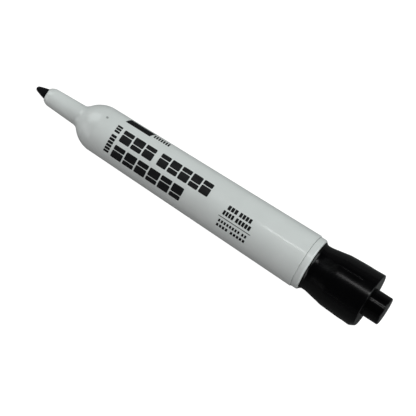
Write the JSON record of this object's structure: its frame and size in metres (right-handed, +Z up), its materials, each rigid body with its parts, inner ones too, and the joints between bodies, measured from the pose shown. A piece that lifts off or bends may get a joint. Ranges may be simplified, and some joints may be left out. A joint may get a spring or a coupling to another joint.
{
  "type": "whiteboard marker",
  "caption": "Whiteboard marker with a tapered white barrel, narrow nose, chisel felt nib and a flared ribbed black cap pushed onto its tail.",
  "frame": {"origin": "on the marker's axis, halfway between the nib's tip and the end of the cap's stub", "axes": "+X along the axis from the nib towards the cap, +Z up with the marker lying on its side; the print faces 11.9 degrees from +Z towards -Y"},
  "size_m": [0.1278, 0.019, 0.019],
  "materials": {
    "barrel_white": "glossy moulded white plastic",
    "plug_white": "semi-gloss moulded white plastic",
    "print_black": "thin black printed ink",
    "cap_black": "glossy moulded black plastic",
    "inner_cap_black": "glossy moulded black plastic",
    "nib_felt": "pressed felt soaked with black ink",
    "inked_fibre": "bundled polyester fibre soaked with black ink",
    "wrap_film": "thin translucent film"
  },
  "bodies": {
    "marker": {"barrel": "barrel_white", "nib": "nib_felt", "reservoir_core": "inked_fibre", "reservoir_wrap": "wrap_film", "tail_plug": "plug_white"},
    "cap": {"cap_shell": "cap_black", "inner_cap": "inner_cap_black"}
  },
  "joints": [
    {"name": "cap_slide", "type": "slide", "parent": "marker", "child": "cap", "axis": [1, 0, 0], "range_m": [0, 0.03]}
  ]
}
